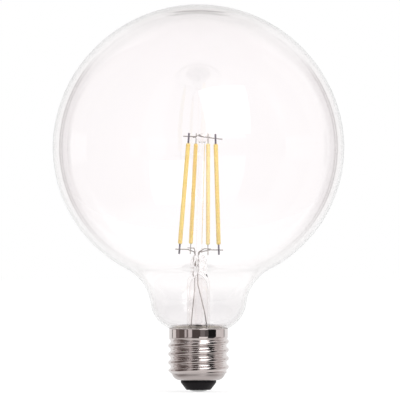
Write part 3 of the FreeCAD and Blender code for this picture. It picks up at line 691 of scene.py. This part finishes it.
# %% [markdown]
# The strips lean towards each other at the top. The two ends of each solid give its place and its lean, and
# it is turned so that one side looks away from the middle of the cage. A matrix holds all that: it moves a
# beam from the origin, where it is easy to shape, to the strip's own place.


# %% Where a strip lies
def ends_of(solid):
    """The middles of a long solid's lower and upper ends."""
    points = [vertex.co for vertex in solids[solid].data.vertices]
    middle = sum((point.z for point in points)) / len(points)
    low = [point for point in points if point.z < middle]
    high = [point for point in points if point.z >= middle]
    return sum(low, Vector()) / len(low), sum(high, Vector()) / len(high)


def laid_along(foot, head, middle):
    """The frame at foot whose Z runs to head and whose X points away from the middle."""
    z = (head - foot).normalized()
    x = (foot - middle).normalized()
    x = (x - z * x.dot(z)).normalized()
    y = z.cross(x)
    return Matrix.Translation(foot) @ Matrix((x, y, z)).transposed().to_4x4()


feet = [ends_of(f"led_filament_{number}")[0] for number in COATS]
cage_middle = sum(feet, Vector()) / len(feet)
print(f"the strips' feet stand {cage_middle.z / MM:.1f} mm above the lamp's foot")

# %% [markdown]
# Each strip is a small beam with soft edges. A cube is stretched and bevelled, then cut into short lengths,
# and each ring is swelled a little, because a dipped coat is never quite even. Noise that is read at
# another place for each strip gives each its own unevenness.

# %% The light strips
STRIP_WIDTH = 1.75 * MM
STRIP_THICKNESS = 1.5 * MM
STRIP_ROUND = 0.52 * MM
RINGS = 48
COAT_MEAN = 0.985
COAT_SWELL = 0.03
SWELL_LENGTH = 4 * MM
NOISE_APART = 7.0


def dipped_beam(length, number):
    bm = bmesh.new()
    size = Matrix.Diagonal((STRIP_WIDTH, STRIP_THICKNESS, length, 1))
    bmesh.ops.create_cube(bm, size=1, matrix=Matrix.Translation((0, 0, length / 2)) @ size)
    bmesh.ops.bevel(
        bm,
        geom=bm.edges[:],
        offset=STRIP_ROUND,
        affect="EDGES",
        segments=4,
        profile=0.5,
        material=-1,
    )
    for index in range(1, RINGS):
        cut = (0, 0, length * index / RINGS)
        everything = bm.verts[:] + bm.edges[:] + bm.faces[:]
        bmesh.ops.bisect_plane(bm, geom=everything, plane_co=cut, plane_no=UP)
    for vertex in bm.verts:
        swell = noise.noise(Vector((number * NOISE_APART, 0, vertex.co.z / SWELL_LENGTH)))
        vertex.co.xy *= COAT_MEAN + COAT_SWELL * swell
    return bm


for number, coat in COATS.items():
    solid = f"led_filament_{number}"
    foot, head = ends_of(solid)
    beam = dipped_beam((head - foot).length, number)
    bmesh.ops.transform(beam, matrix=laid_along(foot, head, cage_middle), verts=beam.verts)
    piece(f"light_strip_{number}", beam, coat, solid, hard_angle=SOFT_ANGLE)

# %% [markdown]
# A flat tab at each end of a strip carries the current and is welded to a wire. The tabs are stamped from
# thin sheet, which leaves their edges slightly broken. So the flat faces of the copy are joined first, and
# the edges that are left get a small bevel. The outer tabs get a darker copy of the same metal and the
# inner
# ones a paler copy: painted shade and painted light.

# %% The tabs
TAB_EDGE = 0.05 * MM
FLAT_ANGLE = math.radians(2)
EDGE_ANGLE = math.radians(25)


def round_edges(bm, width, segments=3):
    """Rounds every edge that turns by more than EDGE_ANGLE."""
    sharp = [edge for edge in bm.edges if edge.calc_face_angle(0) > EDGE_ANGLE]
    bmesh.ops.bevel(
        bm,
        geom=sharp,
        offset=width,
        affect="EDGES",
        segments=segments,
        profile=0.5,
        material=-1,
        clamp_overlap=True,
    )
    return bm


# painted shade and painted light: one tab metal in a dark copy and a pale copy
tab_sheet_shaded = metal("tab_sheet_shaded", colour(0.16, 0.14, 0.17), 0.35, 0.25, lines=0.003 * MM)
tab_sheet_lit = metal("tab_sheet_lit", colour(0.5, 0.46, 0.43), 0.3, 0.2, lines=0.003 * MM)
for number in COATS:
    for end in ("bottom", "top"):
        solid = f"filament_{end}_tab_{number}"
        tab = joined_copy(solid)
        bmesh.ops.dissolve_limit(tab, angle_limit=FLAT_ANGLE, verts=tab.verts, edges=tab.edges)
        # the inner tabs take the painted light, the outer ones the painted shade
        shade = tab_sheet_lit if number % 2 else tab_sheet_shaded
        rounded = round_edges(tab, TAB_EDGE, segments=2)
        piece(f"tab_{end}_{number}", rounded, shade, solid, hard_angle=SOFT_ANGLE)

# %% [markdown]
# The cap is thin sheet, rolled into a round thread and plated with bright nickel. The rollers leave fine
# lines round the thread, the skirt above it stays smoother, and the shoulder below it is more satin than
# the rest. Two masks on the height keep the three apart, each with a short slope at its end.

# %% The plated cap
SHOULDER_ENDS = (7.9 * MM, 8.9 * MM)
THREAD_ENDS = (22.2 * MM, 23.0 * MM)
ROLLED_STRETCH = (80.0, 80.0, 7000.0)
ROLLED_DEPTH = 0.026 * MM
SKIRT_SHARE = 0.1
POLISHED = 0.04
CLOUDED = 0.04
ROLLED = 0.04
SATIN = 0.26


def plated(name):
    """Bright plating, with rolled lines on the thread and a satin shoulder."""
    material = bpy.data.materials.new(name)
    tree = Tree(material)
    height = tree.height()
    satin = 1 - height.step(*SHOULDER_ENDS)
    rolled = 1 - height.step(*THREAD_ENDS)
    cloud = tree.noise(300.0, detail=5.0)
    streaks = tree.noise(1.0, detail=2.0, where=tree.stretched(ROLLED_STRETCH))
    bright = tree.between(cloud, colour(0.66, 0.605, 0.59), colour(0.76, 0.71, 0.7))
    base = tree.between(satin, bright, colour(0.6, 0.555, 0.545))
    roughness = POLISHED + CLOUDED * cloud + ROLLED * rolled + SATIN * satin
    inputs = {"Base_Color": base, "Metallic": 1.0, "Roughness": roughness}
    inputs["Normal"] = tree.bump(streaks * (SKIRT_SHARE + rolled), ROLLED_DEPTH)
    tree.finish(tree.principled(**inputs))
    print(f"metal finish {name}")
    return material


nickel = plated("nickel_plate")

# %% [markdown]
# A rolled thread has round crests and round roots with straight flanks between them. Its radius at any
# height and angle is a wave that climbs one pitch in a turn. Above and below, the sheet runs out of the
# thread into the skirt and the shoulder, where the smaller of two radii is taken with a soft corner.

# %% The thread's radius
PITCH = 3.629 * MM
CREST = 13.025 * MM
ROOT = 11.98 * MM
THREAD_ROUND = 1.025 * MM
FLANK = math.radians(52.25)
RISE = math.tan(math.pi / 2 - FLANK)
FIRST_CREST = 7.1 * MM
SKIRT = 12.62 * MM
SKIRT_START = 22.5 * MM
SHOULDER = (11.3 * MM, 7.65 * MM)
CURVE_START = 21.8 * MM
CURVE_END = 23.6 * MM
SOFTNESS = 0.12 * MM


def wave(offset):
    """The thread's radius at a height offset from a crest."""
    reach = THREAD_ROUND * math.sin(FLANK)
    offset = abs(offset)
    if offset < reach:
        return CREST - THREAD_ROUND + math.sqrt(THREAD_ROUND**2 - offset**2)
    from_root = PITCH / 2 - offset
    if from_root < reach:
        return ROOT + THREAD_ROUND - math.sqrt(THREAD_ROUND**2 - from_root**2)
    knee = CREST - THREAD_ROUND + THREAD_ROUND * math.cos(FLANK)
    return knee - (offset - reach) / RISE


def softly_smaller(first, second):
    """The smaller of two radii, with the corner between them rounded."""
    blend = max(SOFTNESS - abs(first - second), 0) / SOFTNESS
    return min(first, second) - blend * blend * SOFTNESS / 4


def shell_radius(height, angle):
    """The shell's outer radius in the thread's zone."""
    climb = (height - FIRST_CREST) / PITCH - angle / (2 * math.pi)
    thread = wave((climb - round(climb)) * PITCH)
    lower = SHOULDER[0] + (height - SHOULDER[1]) / RISE
    upper = SKIRT + max(SKIRT_START - height, 0) / RISE
    plain = ROOT + (SKIRT - ROOT) * eased(height, CURVE_START, CURVE_END)
    return softly_smaller(max(thread, plain), softly_smaller(lower, upper))


print(f"the thread is {(CREST - ROOT) / MM:.2f} mm deep, with a pitch of {PITCH / MM:.3f} mm")

# %% [markdown]
# The screw shell is one sheet. It is turned from the opening at its foot to its rim as a plain shell, with
# many rings where the thread will be, and each point of those rings is then moved out or in to the
# thread's radius. The sheet's thickness comes last, inwards, so it is even on crests and flanks alike.

# %% The screw shell
SHEET = 0.3 * MM
FOOT_OPENING = 7.6 * MM
FOOT = (8.3 * MM, 5.0 * MM)
SHOULDER_ROUND = 3.6 * MM
ROW = 0.16 * MM
RIM_START = 26.85 * MM
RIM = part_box("cap_shell")[1].z
RIM_FLARE = 0.12 * MM
LIP_BEND = (0.03 * MM, 0.06 * MM)
SKIRT_RINGS = (CURVE_END + 0.2 * MM, 25 * MM, RIM_START - 0.1 * MM, RIM_START)


def shoulder_line():
    """The foot's flat lip and the round shoulder above it."""
    chord = Vector(SHOULDER) - Vector(FOOT)
    side = Vector((-chord.y, chord.x)).normalized()
    depth = math.sqrt(SHOULDER_ROUND**2 - chord.length_squared / 4)
    centre = (Vector(SHOULDER) + Vector(FOOT)) / 2 + side * depth
    start, end = (math.degrees(math.atan2(*(Vector(p) - centre).yx)) for p in (FOOT, SHOULDER))
    return [(FOOT_OPENING, FOOT[1])] + arc(centre, SHOULDER_ROUND, start, end, steps=10)


def skirt_line():
    """The plain skirt and the lip that flares at its rim."""
    bend = (SKIRT + LIP_BEND[0], RIM_START + LIP_BEND[1])
    return [(SKIRT, height) for height in SKIRT_RINGS] + [bend, (SKIRT + RIM_FLARE, RIM)]


rows = round((CURVE_END - SHOULDER[1]) / ROW)
thread_zone = straight(SKIRT, SHOULDER[1], CURVE_END, steps=rows)
shell = outward(turned(shoulder_line() + thread_zone + skirt_line(), steps=180))
for vertex in shell.verts:
    if SHOULDER[1] + ROW / 2 < vertex.co.z <= CURVE_END:
        angle = math.atan2(vertex.co.y, vertex.co.x)
        vertex.co.xy *= shell_radius(vertex.co.z, angle) / vertex.co.xy.length
screw_shell = piece("screw_shell", shell, nickel, "cap_shell", hard_angle=50)
thicken(screw_shell, SHEET)

# %% [markdown]
# What is neither metal nor clear glass gets one plain kind of finish. Its colour wanders between two
# shades, its roughness follows the same cloud, and a fine grain breaks the highlights.

# %% Plain body colours
DULLING = 0.15


def matte(name, dark, light, roughness, grain_scale, grain_depth, **more):
    """A body colour between two shades, with a fine grain."""
    material = bpy.data.materials.new(name)
    tree = Tree(material)
    cloud = tree.noise(grain_scale / 4, detail=3.0)
    grain = tree.noise(grain_scale, detail=4.0)
    inputs = {"Base_Color": tree.between(cloud, dark, light), "Roughness": roughness + DULLING * cloud}
    inputs["Normal"] = tree.bump(grain, grain_depth)
    tree.finish(tree.principled(**inputs, **more))
    print(f"body finish {name}")
    return material


insulator_black = matte(
    "insulator_black",
    colour(0.008, 0.007, 0.009),
    colour(0.014, 0.012, 0.015),
    roughness=0.45,
    grain_scale=1500.0,
    grain_depth=0.008 * MM,
    Specular_IOR_Level=0.2,
)
# painted light: the cement is given a pale colour to brighten the band that shows down the neck, where
# little lamp light reaches it
cement_painted_light = matte(
    "cement_painted_light",
    colour(0.8, 0.74, 0.6),
    colour(0.92, 0.88, 0.78),
    roughness=0.8,
    grain_scale=3000.0,
    grain_depth=0.05 * MM,
)

# %% [markdown]
# Below the shell, the black insulator is moulded with a flange inside the cap, and the contact is stamped
# with a hollow rivet. The insulator is turned from its outline and its edges are rounded, and the contact
# is a smoothed copy. The ring of cement that holds the glass in the skirt is turned too: it was a paste
# that crept up between the neck and the sheet and set there, so its top is a low bead.

# %% Insulator, contact and cement
INSULATOR = [
    (1.2, 0.86),
    (5.2, 0.86),
    (7.6, 4.0),
    (7.6, 5.3),
    (8.2, 5.3),
    (8.2, 6.4),
    (3.0, 4.5),
    (1.2, 4.5),
    (1.2, 0.86),
]
INSULATOR_EDGE = 0.22 * MM
CEMENT = [
    (11.36, 23.3),
    (12.22, 23.6),
    (12.28, 24.0),
    (12.28, 26.3),
    (11.75, 26.7),
    (11.5, 26.3),
    (11.36, 25.7),
    (11.36, 23.3),
]
CEMENT_EDGE = 0.06 * MM


def turned_profile(corners, edge):
    """A solid ring from the (radius, height) of its corners in millimetres, with rounded edges."""
    ring = turned([(radius * MM, height * MM) for radius, height in corners], steps=96)
    return round_edges(ring, edge)


insulator = turned_profile(INSULATOR, INSULATOR_EDGE)
piece("moulded_insulator", insulator, insulator_black, "cap_insulator")
contact_metal = metal("contact_metal", colour(0.62, 0.64, 0.64), 0.3, 0.25, lines=0.01 * MM)
smooth_copy("stamped_contact", "centre_contact", contact_metal, hard_angle=40)
piece("cement_ring", turned_profile(CEMENT, CEMENT_EDGE), cement_painted_light, "basing_cement")

# %% [markdown]
# The driver turns the mains into the current that the strips need. It is out of sight once the cap is on,
# apart from what shows down the neck, but its parts get their real finishes too: a green board, black
# packages, the dark blue sleeve of the capacitor, a green coated resistor and tinned wires.

# %% Finishes of the driver's parts
board_green = matte(
    "board_green",
    colour(0.02, 0.12, 0.05),
    colour(0.04, 0.2, 0.09),
    roughness=0.35,
    grain_scale=2500.0,
    grain_depth=0.01 * MM,
)
package_black = matte(
    "package_black",
    colour(0.015, 0.015, 0.016),
    colour(0.03, 0.03, 0.03),
    roughness=0.45,
    grain_scale=5000.0,
    grain_depth=0.01 * MM,
)
sleeve = matte(
    "capacitor_sleeve",
    colour(0.012, 0.016, 0.05),
    colour(0.02, 0.03, 0.09),
    roughness=0.25,
    grain_scale=900.0,
    grain_depth=0.005 * MM,
)
resistor_coat = matte(
    "resistor_coat",
    colour(0.12, 0.26, 0.16),
    colour(0.2, 0.36, 0.24),
    roughness=0.5,
    grain_scale=3000.0,
    grain_depth=0.01 * MM,
)
tinned = metal("tinned_wire", colour(0.62, 0.62, 0.6), 0.25, 0.2)

# %% [markdown]
# The parts themselves are bought ones with simple forms, which the model has already. So all nine are
# smoothed copies, and a loop over a short table of finishes makes them.

# %% The driver
DRIVER = (
    ("driver_board", board_green, "green_board"),
    ("bridge_rectifier", package_black, "black_package"),
    ("driver_chip", package_black, "black_package"),
    ("sense_resistor", package_black, "black_package"),
    ("smoothing_capacitor", sleeve, "capacitor_sleeve"),
    ("fusible_resistor", resistor_coat, "resistor_coat"),
    ("contact_wire_upper", tinned, "tinned_wire"),
    ("contact_wire_lower", tinned, "tinned_wire"),
    ("shell_wire", tinned, "tinned_wire"),
)
for solid, part_finish, slot in DRIVER:
    smooth_copy(f"{solid}_finished", solid, part_finish)

# %% [markdown]
# The lamp stands in a white studio, but polished metal needs something to reflect, or it looks like grey
# paint. So mirror rays meet a made-up room of upright panels, from white paper to black cloth, placed by
# their turn round the lamp. Their edges are hard, as the stripes on the cap are. Rays that the thread
# throws up or down meet a second set, and then a ceiling or a floor.

# %% What the metal sees
LEVEL_PANELS = [
    (0.0, grey(0.95)),
    (0.144, grey(0.12)),
    (0.16, colour(0.86, 0.83, 0.82)),
    (0.222, colour(0.24, 0.2, 0.195)),
    (0.27, colour(0.13, 0.105, 0.1)),
    (0.342, colour(0.62, 0.57, 0.57)),
    (0.365, colour(0.22, 0.19, 0.19)),
    (0.385, colour(0.72, 0.67, 0.67)),
    (0.428, colour(0.09, 0.073, 0.07)),
    (0.517, colour(0.21, 0.19, 0.19)),
    (0.567, colour(0.11, 0.1, 0.1)),
    (0.606, grey(0.012)),
    (0.703, colour(0.78, 0.74, 0.73)),
    (0.826, grey(0.2)),
    (0.842, grey(0.95)),
]
TILTED_PANELS = [
    (0.0, grey(0.95)),
    (0.14, colour(0.5, 0.46, 0.45)),
    (0.2, colour(0.3, 0.26, 0.25)),
    (0.25, colour(0.13, 0.105, 0.1)),
    (0.37, colour(0.48, 0.44, 0.43)),
    (0.42, colour(0.09, 0.075, 0.07)),
    (0.507, colour(1.0, 0.96, 0.95)),
    (0.604, grey(0.04)),
    (0.69, colour(0.45, 0.41, 0.4)),
    (0.78, colour(0.72, 0.68, 0.67)),
    (0.842, grey(0.95)),
]
TILT = (0.1, 0.14)
CEILING = colour(0.3, 0.27, 0.265)
CEILING_START = (0.75, 0.9)
BELOW = colour(0.75, 0.72, 0.71)
BELOW_END = (-0.75, -0.6)


def mirrored_room(tree, x, y, z):
    """What a mirror ray meets in the direction (x, y, z)."""
    azimuth = tree.node("ShaderNodeMath", {"operation": "ARCTAN2"}, {0: x, 1: y * -1})
    turn = azimuth / (2 * math.pi) + 0.5
    level = tree.ramp(turn, LEVEL_PANELS, "CONSTANT")
    tilted = tree.ramp(turn, TILTED_PANELS, "CONSTANT")
    room = tree.between(abs(z).step(*TILT), level, tilted)
    room = tree.between(z.step(*CEILING_START), room, CEILING)
    return tree.between(z.step(*BELOW_END), BELOW, room)


print(f"{len(LEVEL_PANELS)} level panels and {len(TILTED_PANELS)} tilted ones round the lamp")

# %% [markdown]
# The world asks each ray what it is. A camera ray gets plain white. A ray through glass gets a ramp that is
# a very little darker towards the top, as the glass is in the picture. A mirror ray gets the room, and the
# rest, which light the lamp evenly, get a light grey.

# %% The white studio
DAYLIGHT = 0.88
BEHIND_GLASS = [
    (0.0, grey(1.04)),
    (0.1, grey(0.99)),
    (1.0, grey(0.97)),
]
bpy.context.scene.view_settings.view_transform = "Standard"
world = bpy.data.worlds.new("white_studio")
bpy.context.scene.world = world


def light_the_room(tree):
    x, y, z = tree.split(tree.node("ShaderNodeTexCoord", output="Generated"))
    seen = tree.between(tree.rays("Glossy"), grey(DAYLIGHT), mirrored_room(tree, x, y, z))
    seen = tree.between(tree.rays("Transmission"), seen, tree.ramp(z, BEHIND_GLASS))
    seen = tree.between(tree.rays("Camera"), seen, grey(1.0))
    background = tree.node("ShaderNodeBackground", inputs={"Color": seen})
    tree.finish(background, "ShaderNodeOutputWorld")


light_the_room(Tree(world))
print(f"the studio has {len(world.node_tree.nodes)} nodes")

# %% [markdown]
# The floor is one large sheet of paper. Paper that is only lit looks grey beside the white behind it, so
# it glows as well, but only for the camera and through glass, and the light on the lamp stays as it was.
# It keeps the lamp's shadow. Mirror rays pass it by, because the room has a floor for them.

# %% The paper floor
FLOOR_HALF = 5.0
PAPER_SHADE = 0.45
FLOOR_GLOW = 0.64
FLOOR_BEHIND_GLASS = 0.66


def white_paper():
    material = bpy.data.materials.new("white_paper")
    tree = Tree(material)
    glow = tree.between(tree.rays("Transmission"), grey(0.0), grey(FLOOR_BEHIND_GLASS))
    glow = tree.between(tree.rays("Camera"), glow, grey(FLOOR_GLOW))
    inputs = {"Base_Color": grey(PAPER_SHADE), "Roughness": 0.9, "Specular_IOR_Level": 0.0}
    tree.finish(tree.principled(Emission_Color=glow, Emission_Strength=1.0, **inputs))
    return material


paper = bmesh.new()
bmesh.ops.create_grid(paper, x_segments=1, y_segments=1, size=FLOOR_HALF)
floor_mesh = bpy.data.meshes.new("floor")
paper.to_mesh(floor_mesh)
paper.free()
floor = bpy.data.objects.new("floor", floor_mesh)
floor.visible_glossy = False
floor.data.materials.append(white_paper())
bpy.context.scene.collection.objects.link(floor)
print(f"a floor of {2 * FLOOR_HALF:.0f} m, {len(floor_mesh.polygons)} face")

# %% [markdown]
# One large soft box stands to the front right. It makes the bright window on the globe's upper half and
# the stripe down the thread. A weaker panel to the left lifts that side of the strips and the insulator.
# It is hidden from mirror rays and rays through glass, so it leaves no second window on the globe.

# %% The lamps
LAMP_MIDDLE = Vector((0, 0, 80 * MM))


def lit_panel(name, azimuth, elevation, distance, width, height, brightness):
    """A lit panel of a given brightness that faces the middle of the lamp."""
    light = bpy.data.lights.new(name, "AREA")
    light.shape = "RECTANGLE"
    light.size = width
    light.size_y = height
    light.energy = brightness * math.pi * width * height
    made = bpy.data.objects.new(name, light)
    bpy.context.scene.collection.objects.link(made)
    turn, rise = math.radians(azimuth), math.radians(elevation)
    sideways, forwards = math.sin(turn) * math.cos(rise), -math.cos(turn) * math.cos(rise)
    away = Vector((sideways, forwards, math.sin(rise)))
    made.location = LAMP_MIDDLE + away * distance
    made.rotation_euler = away.to_track_quat("Z", "Y").to_euler()
    print(f"{name}: {light.energy:.1f} W")
    return made


lit_panel(
    "soft_box", azimuth=24.5, elevation=31, distance=1.4, width=0.87, height=0.97, brightness=2.2
)
fill = lit_panel(
    "side_fill", azimuth=-75, elevation=20, distance=1.6, width=0.5, height=0.9, brightness=0.9
)
fill.visible_glossy = False
fill.visible_transmission = False

# %% [markdown]
# The camera stands level with the middle of the lamp, and far enough back that the cap and the crown are
# both seen almost straight from the side. The lens is long to match, so the lamp fills the picture.

# %% The camera
CAMERA_DISTANCE = 3.6
CAMERA_HEIGHT = 82.2 * MM
CAMERA_SIDE = 0.64 * MM
LENS = 756
SENSOR = 36
camera_data = bpy.data.cameras.new("camera")
camera_data.lens = LENS
camera_data.sensor_width = SENSOR
camera = bpy.data.objects.new("camera", camera_data)
camera.location = (CAMERA_SIDE, -CAMERA_DISTANCE, CAMERA_HEIGHT)
camera.rotation_euler = (math.pi / 2, 0, 0)
bpy.context.scene.collection.objects.link(camera)
bpy.context.scene.camera = camera
print(f"camera {CAMERA_DISTANCE:.2f} m in front of the lamp")
